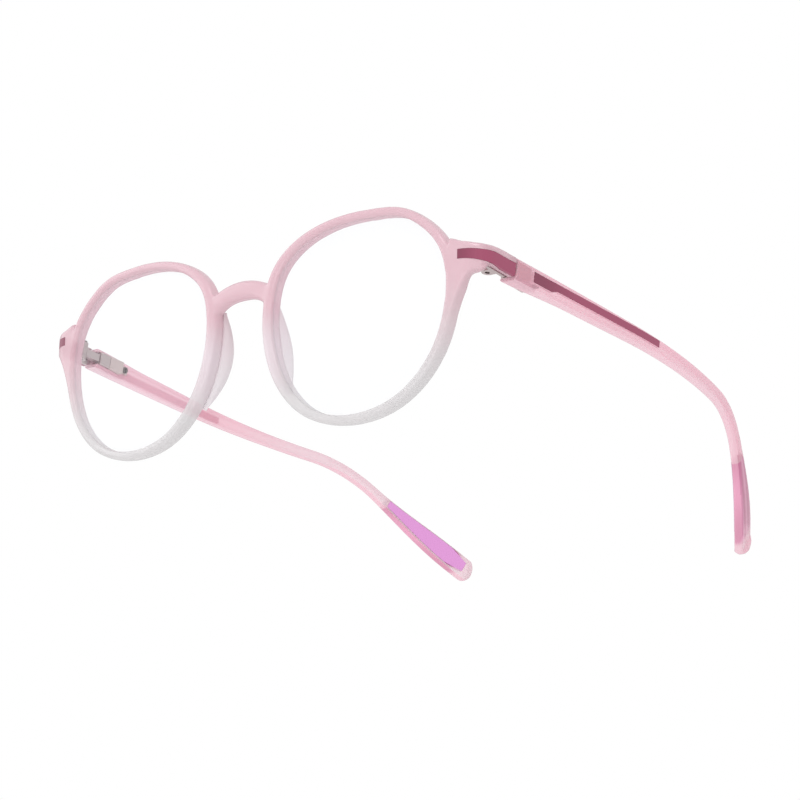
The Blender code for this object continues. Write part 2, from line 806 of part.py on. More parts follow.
def side_pieces():
    """Names, meshes, looks and frames of the pieces that each side has."""
    plastic = material("pink_plastic", PINK, 0.3, alpha=0.8)
    clear = material("clear_plastic", CLEAR, 0.3, alpha=0.7)
    inlay = material("magenta_inlay", MAGENTA, 0.4)
    orchid = material("orchid_pad", ORCHID, 0.6)
    steel = material("steel", STEEL, 0.3, 1.0)
    beige = material("beige_metal", BEIGE, 0.4, 1.0)
    glass = material("lens_plastic", (0.95, 0.95, 0.97), 0.05, alpha=0.15)
    leaf_screw = sideways_screw(LEAF_SCREW_LENGTH, LEAF_SCREW_Y, LEAF_X - 0.08)
    tongue_y = BOX_END + TONGUE_SCREW
    housing_screw = sideways_screw(TONGUE_SCREW_LENGTH, tongue_y, TONGUE_INNER_X - 0.03)
    return {
        "front": (
            ("lens", lens(), glass),
            ("nose_pad", nose_pad(), clear),
            ("endpiece_inlay", cut(end_strip(), butt_cutter()), inlay),
        ),
        "temple": (
            ("hinge_leaf", hinge_leaf(), steel),
            ("leaf_screw", leaf_screw, steel),
            ("pivot_screw", pivot_screw(), steel),
            ("hinge_slider", hinge_slider(), steel),
            ("slider_nut", slider_nut(), steel),
            ("hinge_spring", hinge_spring(), steel),
            ("spring_guide", spring_guide(), steel),
            ("spring_housing", spring_housing(), beige),
            ("housing_screw", housing_screw, steel),
            ("temple_arm", temple_arm(), plastic),
            ("temple_inlay", temple_strip(), inlay),
            ("tip_pad", tip_pad(), orchid),
        ),
    }


def resting_pose(root):
    """Tilts and lifts the root so that the rims and the tips stand on z = 0."""
    bpy.context.view_layer.update()
    places = np.array([
        tuple(o.matrix_world @ v.co)[1:]
        for o in bpy.context.scene.objects if o.type == "MESH" for v in o.data.vertices
    ])
    behind = places[places[:, 0] > TEMPLE_LENGTH / 2 * MM]
    ahead = places[places[:, 0] < PIVOT[1] * MM]
    tilt = 0.0
    for _ in range(6):
        turn = np.array([-math.sin(tilt), -math.cos(tilt)])
        toe = ahead[np.argmax(ahead @ turn)]
        heel = behind[np.argmax(behind @ turn)]
        tilt = math.atan2(toe[1] - heel[1], heel[0] - toe[0])
    root.rotation_euler.x = tilt
    lowest = (places @ np.array([math.sin(tilt), math.cos(tilt)])).min()
    depths = places @ np.array([math.cos(tilt), -math.sin(tilt)])
    root.location = (0, -(depths.min() + depths.max()) / 2, -lowest)
    bpy.context.view_layer.update()


def main():
    for old in list(bpy.data.objects):
        bpy.data.objects.remove(old, do_unlink=True)
    root = bpy.data.objects.new("glasses", None)
    bpy.context.scene.collection.objects.link(root)
    front = front_frame()
    front.transform(Matrix.Scale(MM, 4))
    piece("front_frame", front, material("pink_plastic", PINK, 0.3, alpha=0.8), root)
    pieces = side_pieces()
    for frame in pieces.values():
        for _, mesh, _ in frame:
            mesh.transform(Matrix.Scale(MM, 4))
    for side, sign in (("left", 1), ("right", -1)):
        mirror = bpy.data.objects.new(side + "_side", None)
        mirror.parent = root
        mirror.scale.x = sign
        hinge = bpy.data.objects.new(side + "_hinge_axis", None)
        hinge.parent = mirror
        hinge.location = [c * MM for c in PIVOT]
        hinge.rotation_euler.x = math.radians(-TEMPLE_SLOPE)
        for empty in (mirror, hinge):
            bpy.context.scene.collection.objects.link(empty)
        for frame, parent in (("front", mirror), ("temple", hinge)):
            for name, mesh, look in pieces[frame]:
                piece(f"{side}_{name}", mesh, look, parent)
    resting_pose(root)


if __name__ == "__main__":
    main()
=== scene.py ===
"""Looks for a pair of round crown spectacles: see-through frame, inlaid temples, spring hinges.

Shapes are worked out in millimetres in the front's own frame (X to the wearer's left, Y back,
Z up, zero at the bridge's middle) or in a temple's frame (zero on its hinge axis), and are put
in their resting place in metres by FRONT_PLACE and HINGE_PLACE.
"""

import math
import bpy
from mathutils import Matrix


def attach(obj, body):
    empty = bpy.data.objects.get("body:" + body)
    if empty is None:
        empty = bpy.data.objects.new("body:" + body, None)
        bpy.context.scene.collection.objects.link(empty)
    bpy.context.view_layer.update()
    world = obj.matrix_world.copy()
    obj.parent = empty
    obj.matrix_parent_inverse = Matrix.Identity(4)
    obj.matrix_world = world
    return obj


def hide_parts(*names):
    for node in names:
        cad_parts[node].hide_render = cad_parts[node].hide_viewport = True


bl_info = {
    "name": "Spectacle finishes",
    "version": (1, 0, 0),
    "blender": (4, 5, 0),
    "location": "View3D > Sidebar > Spectacles",
    "description": "Builds the front, lenses, pads and temples and gives them their finishes",
    "category": "Object",
}

import bmesh
import bpy
import numpy as np
from bpy.props import FloatProperty, FloatVectorProperty, PointerProperty
from mathutils import Matrix, Vector

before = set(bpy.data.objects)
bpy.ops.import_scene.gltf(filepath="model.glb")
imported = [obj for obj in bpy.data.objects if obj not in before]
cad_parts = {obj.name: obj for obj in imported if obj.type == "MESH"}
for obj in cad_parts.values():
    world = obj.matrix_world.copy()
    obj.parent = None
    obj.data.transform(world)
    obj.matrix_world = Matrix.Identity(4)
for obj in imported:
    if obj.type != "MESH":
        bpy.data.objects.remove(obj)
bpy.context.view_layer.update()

MM = 0.001
SIDES = (("left", 1), ("right", -1))

# lens opening and rim
LENS_CENTRE_X = 34.5
LENS_OUTLINE = (
    (24.0, 0.0), (24.0, 6.0), (22.4, 11.2), (16.6, 17.5), (11.6, 20.2), (5.0, 21.2),
    (-4.0, 21.3), (-11.2, 20.1), (-17.4, 17.5), (-22.2, 13.0), (-24.1, 6.4), (-23.8, -1.0),
    (-20.4, -10.4), (-12.2, -18.6), (0.0, -21.4), (12.2, -18.4), (20.4, -10.6),
)  # of one lens opening, about its centre, with +x towards the temple
FRONT_CURVE = 0.0006
RIM_DEPTH = 3.6
RIM_FACE = 2.05
RIM_NASAL_EXTRA = 0.85
RIM_NASAL_TURN = 185
RIM_ROUND = 0.75
RIM_LIP = 0.3
GROOVE_DEPTH = 0.6
GROOVE_WIDTH = 1.1
LENS_THICKNESS = 1.8
LENS_DOME = 1.1
BRIDGE_HALF = 9.6
BRIDGE_TOP = 13.6
BRIDGE_UNDER = 9.1
BRIDGE_FALL = (2.6, 4.2)
BRIDGE_DEPTH = 3.3

# end pieces, from above: out along the front, round the corner, back to the temple
END_START = (59.3, 2.15)
END_HEADING = 4.0
END_FRONT_RUN = 3.0
END_CORNER_RADIUS = 5.8
TEMPLE_SPLAY = 3.5
END_FRONT_THICKNESS = 3.4
END_SIDE_THICKNESS = 2.4
END_ROOT_HEIGHT = 7.6
END_SIDE_HEIGHT = 5.4
END_TAPER = 0.015
END_CROWN = 0.35
END_STEP = (1.2, 0.6)
END_FLARE = (0.3, 0.25)  # of the top and of the underside
END_FLARE_REACH = (3.0, 6.6)
END_ROOT_Z = 8.6
PIVOT = (64.2, 9.8, 8.5)
TEMPLE_SLOPE = 8.6
BUTT_Y = 4.4
BUTT_GAP = 0.5

# temple, in its own frame
TEMPLE_OUTER_X = 4.0
TEMPLE_THICKNESS = 3.3
TEMPLE_BUTT_THICKNESS = 4.6
TEMPLE_THINNED_Y = 24.0
TEMPLE_STRAIGHT = 44.0
TEMPLE_BOW_RADIUS = 135.0
TEMPLE_LENGTH = 132.5
TEMPLE_BUTT_HEIGHT = 4.9
TEMPLE_WAIST_HEIGHT = 3.0
TIP_HEIGHT = 7.0
TIP_THICKNESS = 2.7
BEND_START = 86.0
BEND_RADIUS = 39.0
BEND_ANGLE = 31.0
INLAY_DEPTH = 0.7
FRONT_INLAY_START = 2.6
FRONT_INLAY_HEIGHT = (2.0, 2.9)
FRONT_INLAY_RISE = 0.6
FRONT_INLAY_FALL = 0.5
TEMPLE_INLAY = (10.2, 16.6, 54.0)  # its start, its step and its end
TEMPLE_INLAY_HEIGHT = (2.3, 1.6)
TEMPLE_INLAY_RISE = 0.05
TIP_PAD_START = 109.5
TIP_PAD_MARGIN = 0.7
TIP_PAD_DEPTH = 1.0
TIP_PAD_END = 1.0
PAD_SPAN = (-14.0, 8.0)
PAD_REACH = 3.9
PAD_WIDTH = 3.6

# hinge parts that the plastic makes room for
LEAF_BACK_X = 2.1
LEAF_SPAN = (-3.7, 5.7)
LEAF_HALF = 2.2
BOX_END = 13.2
BOX_BACK_X = 1.4
BOX_HALF = 1.6
TONGUE_END = 15.4
TONGUE_BACK_X = 0.7
TONGUE_HALF = 1.0
ROOM = 0.06
POCKET_SHADE_SHEET = ((2.6, 5.1, -0.9), (3.9, 9.7, 1.7))  # corners of a dark sheet outside the spring box: painted shade of the pocket and of the box seen through the arm
PAD_SEAM = 0.3
SKIN_SMOOTHING = 30
FACING = 0.6  # the least x of a normal that counts as facing sideways

# where colours change, in metres at rest
NOSE_ASIDE = (0.0085, 0.0165)
NOSE_HEIGHT = (0.019, 0.031)
PAD_BLUSH_HEIGHT = (0.014, 0.034)
# painted light: the temples' inner faces grow paler over this span of y
TEMPLE_LIT_PALING_Y = (-0.02, 0.03)
# painted shade on the inlays: darker towards the middle on the end pieces, and towards the hinge
# on the temples
FRONT_INLAY_SHADE_X = (0.062, 0.068)
TEMPLE_INLAY_SHADE_Y = (-0.052, -0.035)
TINT_SPAN = (0.0286, 0.0528)  # along the bent part of a temple
TINT_STREAKS = 2600.0  # radians a metre across it

# where the glasses stand: tilted back until rims and tips rest on z = 0
REST_TILT = 5.1138
REST_PLACE = (0, -70.59, 23.23)
SCALE = Matrix.Scale(MM, 4)
TILTED_BACK = Matrix.Rotation(math.radians(REST_TILT), 4, "X")
FRONT_PLACE = SCALE @ Matrix.Translation(REST_PLACE) @ TILTED_BACK
HINGE_OFFSET = Matrix.Translation(PIVOT) @ Matrix.Rotation(math.radians(-TEMPLE_SLOPE), 4, "X")
HINGE_PLACE = FRONT_PLACE @ HINGE_OFFSET

CAMERA_LENS = 95.4
CAMERA_PLACE = (0.33009, -0.38220, -0.12108)
CAMERA_TURN = (106.438, -4.383, 40.596)
LAMP_TARGET = Vector((0, 0, 0.02))
LAMPS = (
    ("key", (0.5, -0.6, 0.7), 3.0, 0.5),
    ("fill", (-0.7, -0.4, 0.3), 1.2, 0.6),
    ("under", (0.1, -0.5, -0.2), 0.6, 0.4),
)  # name, place, power in watts and width


# ---------------------------------------------------------------- settings


def colour_property(name, description, default):
    return FloatVectorProperty(
        name=name, description=description, subtype="COLOR", size=3, min=0, max=1, default=default
    )


class PlasticSettings(bpy.types.PropertyGroup):
    pink: colour_property("Pink", "Upper part of the front", (0.74, 0.48, 0.545))
    clear: colour_property("Clear", "Lower part of the rims", (0.67, 0.645, 0.655))
    temple: colour_property("Temple", "Temple arms", (0.97, 0.50, 0.62))
    milk: colour_property("Milk", "Nose pads", (0.86, 0.80, 0.83))
    nose: colour_property("Nose", "Rims beside the nose pads", (0.79, 0.68, 0.73))
    # painted light: this paler pink lightens the arms' top and underside, and their inner faces
    # towards the tips
    inner: colour_property("Inner", "Temple arms' inner faces near the tips", (0.86, 0.68, 0.74))
    tint: colour_property("Tint", "Tip pads through the outer sides", (0.60, 0.16, 0.32))
    tint_light: colour_property("Light tint", "The tint's lighter streaks", (0.84, 0.31, 0.52))
    # painted shade: colour of the dark sheet beside the spring box
    pocket_shade_colour: colour_property("Pocket_shade", "Darker wall beside the spring box", (0.34, 0.06, 0.05))
    # painted shadow: the dark of the gap between front and temples, laid on the butt faces
    butt: colour_property("Butt", "Dark joint between front and temples", (0.26, 0.07, 0.12))
    lens: colour_property("Lens", "Lenses", (0.86, 0.88, 0.98))
    fade_top: FloatProperty(
        name="Fade top", description="Height where the pink starts to fade",
        default=0.031, min=0, unit="LENGTH",
    )
    fade_bottom: FloatProperty(
        name="Fade bottom", description="Height where the pink is gone",
        default=0.006, min=0, unit="LENGTH",
    )
    voxel: FloatProperty(
        name="Voxel", description="Fineness of the moulded front's mesh",
        default=0.00026, min=0.0001, unit="LENGTH",
    )


class TrimSettings(bpy.types.PropertyGroup):
    inlay: colour_property("Inlay", "Strips let into the outer faces", (0.34, 0.065, 0.13))
    tip: colour_property("Tip pad", "Soft pads on the inner faces of the tips", (0.71, 0.30, 0.65))
    # painted shade: a darker copy of the tip pad's colour on its face buried in the arm
    buried_shade: colour_property("Buried", "Tip pads seen through the arms", (0.42, 0.10, 0.26))
    steel: colour_property("Steel", "Hinge leaves and sliders", (0.56, 0.47, 0.47))
    screw: colour_property("Screw", "Screws, nuts and springs", (0.16, 0.14, 0.13))
    housing: colour_property("Housing", "Rear blocks of the spring hinges", (0.62, 0.51, 0.50))


class StageSettings(bpy.types.PropertyGroup):
    floor_depth: FloatProperty(
        name="Floor depth", description="How far the floor lies under the glasses",
        default=0.25, min=0, unit="LENGTH",
    )
    surround: FloatProperty(
        name="Surround", description="Brightness of the white surround on the glasses",
        default=0.8, min=0,
    )


# ---------------------------------------------------------------- curves


def natural_spline(knots, values, where):
    """The natural cubic spline through values at knots, read at where.

    The second derivatives solve the usual three-term system, one row for each inner knot.
    """
    knots = np.asarray(knots, float)
    values = np.asarray(values, float)
    step = np.diff(knots)
    size = len(knots)
    system = np.eye(size)
    right = np.zeros(size)
    inner = np.arange(1, size - 1)
    system[inner, inner - 1] = step[:-1]
    system[inner, inner] = 2 * (step[:-1] + step[1:])
    system[inner, inner + 1] = step[1:]
    right[inner] = 6 * np.diff(np.diff(values) / step)
    bend = np.linalg.solve(system, right)
    i = np.clip(np.searchsorted(knots, where, side="right") - 1, 0, size - 2)
    h = step[i]
    a = knots[i + 1] - where
    b = where - knots[i]
    cubic = (bend[i] * a**3 + bend[i + 1] * b**3) / (6 * h)
    line = (values[i] / h - bend[i] * h / 6) * a + (values[i + 1] / h - bend[i + 1] * h / 6) * b
    return cubic + line


def lens_outline(count):
    """count points and outward normals on the smooth closed curve through LENS_OUTLINE."""
    wrap = 4
    points = list(LENS_OUTLINE)
    ring = np.array(points[-wrap:] + points + points[:wrap])
    knots = np.concatenate([[0], np.cumsum(np.linalg.norm(np.diff(ring, axis=0), axis=1))])
    where = np.linspace(knots[wrap], knots[-wrap], count, endpoint=False)
    curve = np.stack([natural_spline(knots, ring[:, i], where) for i in (0, 1)], 1)
    along = np.roll(curve, -1, 0) - np.roll(curve, 1, 0)
    along /= np.linalg.norm(along, axis=1)[:, None]
    return curve, np.stack([along[:, 1], -along[:, 0]], 1)


def ease(low, high, where):
    """0 below low and 1 above high, by 3t^2 - 2t^3 between them."""
    t = np.clip((where - low) / (high - low), 0, 1)
    return t * t * (3 - 2 * t)


def front_y(x):
    """How far the front has fallen back at x: a shallow parabola."""
    return FRONT_CURVE * x * x


def rounded_section(half_a, half_b, radius, corner=6):
    """Rounded rectangles, one a row: each corner is a quarter circle about its own centre."""
    half_a = np.atleast_1d(half_a)[:, None]
    half_b = np.atleast_1d(half_b)[:, None]
    radius = np.minimum(radius, 0.95 * np.minimum(half_a, half_b))
    quarter = np.repeat(np.arange(4), corner + 1)
    turn = np.radians(90 * quarter + np.tile(np.linspace(0, 90, corner + 1), 4))
    sign_a = np.array([1, -1, -1, 1])[quarter]
    sign_b = np.array([1, 1, -1, -1])[quarter]
    a = sign_a * (half_a - radius) + radius * np.cos(turn)
    b = sign_b * (half_b - radius) + radius * np.sin(turn)
    return a, b


# ---------------------------------------------------------------- meshes


def grid_mesh(points, loop=False):
    """A closed solid from a grid of points: rows are rings, joined in turn.

    The last ring meets the first where loop is set, and otherwise both ends are capped.
    """
    rows, count = points.shape[:2]
    spans = rows if loop else rows - 1
    i = np.arange(spans)[:, None]
    j = np.arange(count)[None, :]
    k = (j + 1) % count
    here = i * count
    there = (i + 1) % rows * count
    faces = np.stack([here + j, here + k, there + k, there + j], -1).reshape(-1, 4).tolist()
    if not loop:
        faces.append(list(range(count)))
        faces.append(list(range((rows - 1) * count, rows * count)))
    mesh = bpy.data.meshes.new("grid")
    mesh.from_pydata(points.reshape(-1, 3).tolist(), [], faces)
    work = bmesh.new()
    work.from_mesh(mesh)
    bmesh.ops.recalc_face_normals(work, faces=work.faces)
    work.to_mesh(mesh)
    work.free()
    return mesh


def box_mesh(low, high):
    """A plain box between two corners."""
    low = np.asarray(low, float)
    high = np.asarray(high, float)
    across = np.array([[0, 0], [1, 0], [1, 1], [0, 1]])
    points = np.zeros((2, 4, 3))
    for end in (0, 1):
        points[end, :, 0] = (low[0], high[0])[end]
        points[end, :, 1] = low[1] + (high[1] - low[1]) * across[:, 0]
        points[end, :, 2] = low[2] + (high[2] - low[2]) * across[:, 1]
    return grid_mesh(points)


def placed(mesh, matrix):
    mesh.transform(matrix)
    return mesh


def with_modifier(mesh, kind, others=(), **settings):
    """mesh after one modifier; others are meshes joined to it first."""
    scene = bpy.context.scene
    work = bmesh.new()
    for part in (mesh, *others):
        work.from_mesh(part)
    whole = bpy.data.meshes.new("whole")
    work.to_mesh(whole)
    work.free()
    holder = bpy.data.objects.new("holder", whole)
    scene.collection.objects.link(holder)
    modifier = holder.modifiers.new(kind, kind)
    for key, value in settings.items():
        setattr(modifier, key, value)
    graph = bpy.context.evaluated_depsgraph_get()
    made = bpy.data.meshes.new_from_object(holder.evaluated_get(graph))
    bpy.data.objects.remove(holder)
    return made


def carved(mesh, cutters):
    """mesh less each cutter in turn."""
    for cutter in cutters:
        tool = bpy.data.objects.new("tool", cutter)
        bpy.context.scene.collection.objects.link(tool)
        mesh = with_modifier(
            mesh, "BOOLEAN", operation="DIFFERENCE", solver="EXACT", object=tool
        )
        bpy.data.objects.remove(tool)
    return mesh


def mirror_image(mesh):
    """A copy on the other side of the YZ plane."""
    copy = mesh.copy()
    copy.transform(Matrix.Diagonal((-1, 1, 1, 1)))
    copy.flip_normals()
    return copy


def add_piece(name, mesh, look, body, slot, *replaced, crease=35, others=()):
    """An object for a finished mesh that rides on a body and stands for CAD nodes."""
    mesh.materials.clear()
    for material in (look, *others):
        mesh.materials.append(material)
    mesh.shade_smooth()
    mesh.set_sharp_from_angle(angle=math.radians(crease))
    made = bpy.data.objects.new(name, mesh)
    bpy.context.scene.collection.objects.link(made)
    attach(made, body)
    if replaced:
        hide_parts(*replaced)
    return made


def dress(node, look):
    """Gives a CAD node its finish and returns its mesh."""
    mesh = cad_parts[node].data
    for i in range(len(mesh.materials)):
        mesh.materials[i] = look
    return mesh


# ---------------------------------------------------------------- shader expressions


class Value:
    """A shader socket that +, - and * add Math nodes to."""

    def __init__(self, shader, socket):
        self.shader = shader
        self.socket = socket

    def _math(self, operation, first, second):
        return self.shader.node(
            "ShaderNodeMath", {"operation": operation}, {0: first, 1: second}
        )

    def __add__(self, other):
        return self._math("ADD", self, other)

    def __radd__(self, other):
        return self._math("ADD", other, self)

    def __sub__(self, other):
        return self._math("SUBTRACT", self, other)

    def __rsub__(self, other):
        return self._math("SUBTRACT", other, self)

    def __mul__(self, other):
        return self._math("MULTIPLY", self, other)

    def __rmul__(self, other):
        return self._math("MULTIPLY", other, self)


class Shader:
    """A material whose nodes are added by expressions."""

    def __init__(self, name):
        self.material = bpy.data.materials.new(name)
        self.material.use_nodes = True
        self.tree = self.material.node_tree
        self.principled = self.tree.nodes["Principled BSDF"]

    def node(self, kind, settings=None, inputs=None, output=0):
        """Adds a node, sets it up, fills its sockets and returns one output as a Value."""
        made = self.tree.nodes.new(kind)
        for key, value in (settings or {}).items():
            if key == "stops":
                self._ramp(made, value)
            else:
                setattr(made, key, value)
        for key, value in (inputs or {}).items():
            self._fill(made.inputs[key], value)
        return Value(self, made.outputs[output])

    def _ramp(self, made, stops):
        elements = made.color_ramp.elements
        while len(elements) < len(stops):
            elements.new(0.5)
        for element, (position, colour) in zip(elements, stops):
            element.position = position
            element.color = (*colour, 1)

    def _fill(self, socket, value):
        if isinstance(value, Value):
            self.tree.links.new(value.socket, socket)
        else:
            socket.default_value = value

    def place(self):
        """The x, y and z of the point being shaded, in metres at rest."""
        coordinates = self.node("ShaderNodeTexCoord", output=3)
        split = self.node("ShaderNodeSeparateXYZ", inputs={0: coordinates})
        return [Value(self, split.socket.node.outputs[i]) for i in range(3)]

    def aside(self):
        """The distance from the middle plane, alike on both sides."""
        return self.node("ShaderNodeMath", {"operation": "ABSOLUTE"}, {0: self.place()[0]})

    def rise(self, value, low, high):
        """0 where value is below low and 1 above high, with level ends."""
        return self.node(
            "ShaderNodeMapRange", {"interpolation_type": "SMOOTHSTEP"},
            {"Value": value, "From Min": low, "From Max": high},
        )

    def mix(self, factor, first, second):
        """A colour between two colours."""
        made = self.tree.nodes.new("ShaderNodeMix")
        made.data_type = "RGBA"
        self._fill(made.inputs[0], factor)
        for slot, colour in ((6, first), (7, second)):
            self._fill(made.inputs[slot], colour if isinstance(colour, Value) else (*colour, 1))
        return Value(self, made.outputs[2])

    def noise(self, scale, detail=2.0, roughness=0.5):
        coordinates = self.node("ShaderNodeTexCoord", output=3)
        return self.node(
            "ShaderNodeTexNoise", {},
            {"Vector": coordinates, "Scale": scale, "Detail": detail, "Roughness": roughness},
        )

    def set(self, **sockets):
        """Fills the surface's sockets, with underscores in their names for spaces."""
        for key, value in sockets.items():
            name = key.replace("_", " ")
            if name in ("Base Color", "Emission Color") and not isinstance(value, Value):
                value = (*value, 1)
            self._fill(self.principled.inputs[name], value)
        return self.material


def nose_milk(shader):
    """1 beside the nose, under the bridge, and 0 over the rest of the front."""
    near = 1 - shader.rise(shader.aside(), *NOSE_ASIDE)
    return near * (1 - shader.rise(shader.place()[2], *NOSE_HEIGHT))


def front_plastic(settings):
    """See-through plastic, pink above, fading to clear below and to milk beside the nose."""
    shader = Shader("front_plastic")
    z = shader.place()[2]
    pinkness = shader.rise(z, settings.fade_bottom, settings.fade_top)
    mottle = shader.noise(260.0, 3.0) - 0.5
    colour = shader.mix(pinkness + mottle * 0.15, tuple(settings.clear), tuple(settings.pink))
    colour = shader.mix(nose_milk(shader), colour, tuple(settings.nose))
    return shader.set(
        Base_Color=colour, Roughness=0.22, Alpha=0.62 + 0.12 * pinkness, IOR=1.5,
        Coat_Weight=0.3, Coat_Roughness=0.1,
    )


def pad_plastic(settings):
    """Milky plastic, pinker towards the bridge."""
    shader = Shader("pad_milky")
    upper = shader.rise(shader.place()[2], *PAD_BLUSH_HEIGHT)
    colour = shader.mix(upper * 0.5, tuple(settings.milk), tuple(settings.pink))
    return shader.set(
        Base_Color=colour, Roughness=0.25, Alpha=0.8, Coat_Weight=0.3, Coat_Roughness=0.1
    )


def temple_shader(name, settings):
    """A shader with the temples' pink, a little mottled."""
    shader = Shader(name)
    pale = tuple(0.6 * a + 0.4 * b for a, b in zip(settings.temple, settings.clear))
    return shader, shader.mix(shader.noise(200.0, 3.0) * 0.3, tuple(settings.temple), pale)


def tip_tint(shader, settings):
    """How much of the tip pad's tint shows at a point, and the streaky tint."""
    _, y, z = shader.place()
    lean = math.radians(BEND_ANGLE + TEMPLE_SLOPE - REST_TILT)
    along = y * math.cos(lean) - z * math.sin(lean)
    across = y * math.sin(lean) + z * math.cos(lean)
    start, end = TINT_SPAN
    amount = shader.rise(along, start - 0.0002, start + 0.0002)
    amount = amount * (1 - shader.rise(along, end - 0.001, end + 0.001))
    streak = shader.node("ShaderNodeMath", {"operation": "SINE"}, {0: across * TINT_STREAKS})
    return amount, shader.mix(
        0.5 + streak * 0.5, tuple(settings.tint), tuple(settings.tint_light)
    )


def temple_look(settings, name, lit_paling, showing, opacity):
    """A temple's see-through plastic: how far painted light pales it, evenly and towards the tip,
    how much of the tip pad shows through it, and how opaque it is."""
    shader, colour = temple_shader(name, settings)
    rear = shader.rise(shader.place()[1], *TEMPLE_LIT_PALING_Y)
    colour = shader.mix(lit_paling[0] + rear * lit_paling[1], colour, tuple(settings.inner))
    amount, tint = tip_tint(shader, settings)
    amount = amount * showing
    return shader.set(
        Base_Color=shader.mix(amount, colour, tint), Roughness=0.22,
        Alpha=opacity + 0.24 * amount, IOR=1.5, Coat_Weight=0.3, Coat_Roughness=0.1,
    )


def inlay_with_shade(shader, settings, place, shade_span):
    """Magenta with painted shade: darker before a span of place, lightening to its own colour over
    it.
    """
    # the painted shade: two thirds of the inlay's colour
    dark = tuple(0.66 * c for c in settings.inlay)
    colour = shader.mix(shader.rise(place, *shade_span), dark, tuple(settings.inlay))
    return shader.set(Base_Color=colour, Roughness=0.35)


def plain(name, colour, roughness, **sockets):
    """One colour all over."""
    return Shader(name).set(Base_Color=tuple(colour), Roughness=roughness, **sockets)


# ---------------------------------------------------------------- front


def rim_width(outline):
    """The rim's face is RIM_FACE wide, and wider by a power of a cosine beside the nose."""
    turn = np.arctan2(outline[:, 1], outline[:, 0])
    beside_nose = np.clip(np.cos(turn - math.radians(RIM_NASAL_TURN)), 0, 1) ** 2.5
    return RIM_FACE + RIM_NASAL_EXTRA * beside_nose


def rim_grid(stations=240, corner=6):
    """One rim: a section carried round the lens outline along its normals.

    The section runs from the groove over the front lip, round the two outer edges, each a
    quarter circle of RIM_ROUND, and over the rear lip back to the groove.
    """
    outline, normal = lens_outline(stations)
    width = rim_width(outline)
    middle = RIM_DEPTH / 2
    quarter = np.radians(np.linspace(0, 90, corner + 1))
    fixed = np.array([(0, middle - GROOVE_WIDTH / 2), (0, RIM_LIP), (RIM_LIP, 0)])
    rear = np.array([
        (RIM_LIP, RIM_DEPTH), (0, RIM_DEPTH - RIM_LIP), (0, middle + GROOVE_WIDTH / 2),
        (GROOVE_DEPTH, middle),
    ])
    near = np.stack([RIM_ROUND * (np.sin(quarter) - 1), RIM_ROUND * (1 - np.cos(quarter))], 1)
    far = np.stack([near[::-1, 0], RIM_DEPTH - near[::-1, 1]], 1)
    section = np.concatenate([fixed, near, far, rear])
    edge = np.zeros(len(section))
    edge[len(fixed) : len(fixed) + len(near) + len(far)] = 1
    out = section[None, :, 0] + edge[None, :] * width[:, None]
    x = LENS_CENTRE_X + outline[:, :1] + normal[:, :1] * out
    z = outline[:, 1:] + normal[:, 1:] * out
    return np.stack([x, front_y(x) + section[None, :, 1], z], -1)


def bridge_grid(first=-1.5):
    """Half the bridge: rounded sections along X whose top falls by the square of the share of
    BRIDGE_HALF, and whose underside falls by its 2.8th power."""
    x = np.linspace(first, BRIDGE_HALF, 60)
    share = (x / BRIDGE_HALF) ** 2
    top = BRIDGE_TOP - BRIDGE_FALL[0] * share
    under = BRIDGE_UNDER - BRIDGE_FALL[1] * share**1.4
    a, b = rounded_section(np.full(60, BRIDGE_DEPTH / 2), (top - under) / 2, 1.3)
    middle = front_y(x) + RIM_DEPTH / 2
    return np.stack([
        np.repeat(x[:, None], a.shape[1], 1), middle[:, None] + a, (top + under)[:, None] / 2 + b,
    ], -1)


def end_corner():
    """How far along the end piece's outer face its corner starts and ends."""
    turn = math.radians(90 - TEMPLE_SPLAY - END_HEADING)
    return END_FRONT_RUN, END_FRONT_RUN + END_CORNER_RADIUS * turn


def end_path(along):
    """The outer face from above: a line, a circular arc and a line, and its inward normals."""
    first, last = end_corner()
    heading = math.radians(END_HEADING)
    ahead = np.array([math.cos(heading), math.sin(heading)])
    left = np.array([-ahead[1], ahead[0]])
    turn = ((np.clip(along, first, last) - first) / END_CORNER_RADIUS)[:, None]
    place = np.array(END_START) + ahead * np.minimum(along, first)[:, None]
    place = place + END_CORNER_RADIUS * (ahead * np.sin(turn) + left * (1 - np.cos(turn)))
    onward = ahead * np.cos(turn) + left * np.sin(turn)
    inward = left * np.cos(turn) - ahead * np.sin(turn)
    return place + onward * np.maximum(0, along - last)[:, None], inward


def end_height(along):
    """The end piece's mid height: level at the front, then falling with the temple."""
    first, last = end_corner()
    fall = math.tan(math.radians(TEMPLE_SLOPE)) * np.maximum(0, along - last)
    return END_ROOT_Z - 0.25 * ease(0, last, along) - 0.45 * fall


def end_edges(along):
    """The end piece's underside and top.

    Near the rim the top rises on a line and the underside falls on a parabola. Past that, a
    crown lifts the top at the corner, and the underside steps up there and eases back down.
    """
    last = end_corner()[1]
    half = (END_ROOT_HEIGHT + (END_SIDE_HEIGHT - END_ROOT_HEIGHT) * ease(0, last, along)) / 2
    half -= END_TAPER * np.maximum(0, along - last)
    middle = end_height(along)
    near_top, near_low = (np.maximum(0, reach - along) for reach in END_FLARE_REACH)
    top = middle + half + END_FLARE[0] * near_top
    top += END_CROWN * ease(5, last, along) * (1 - ease(last + 2, last + 7, along))
    low = middle - half - END_FLARE[1] * near_low**2
    low += END_STEP[0] * ease(last - 2.6, last - 1.2, along)
    low -= END_STEP[1] * ease(last - 1.2, last + 6, along)
    return low, top


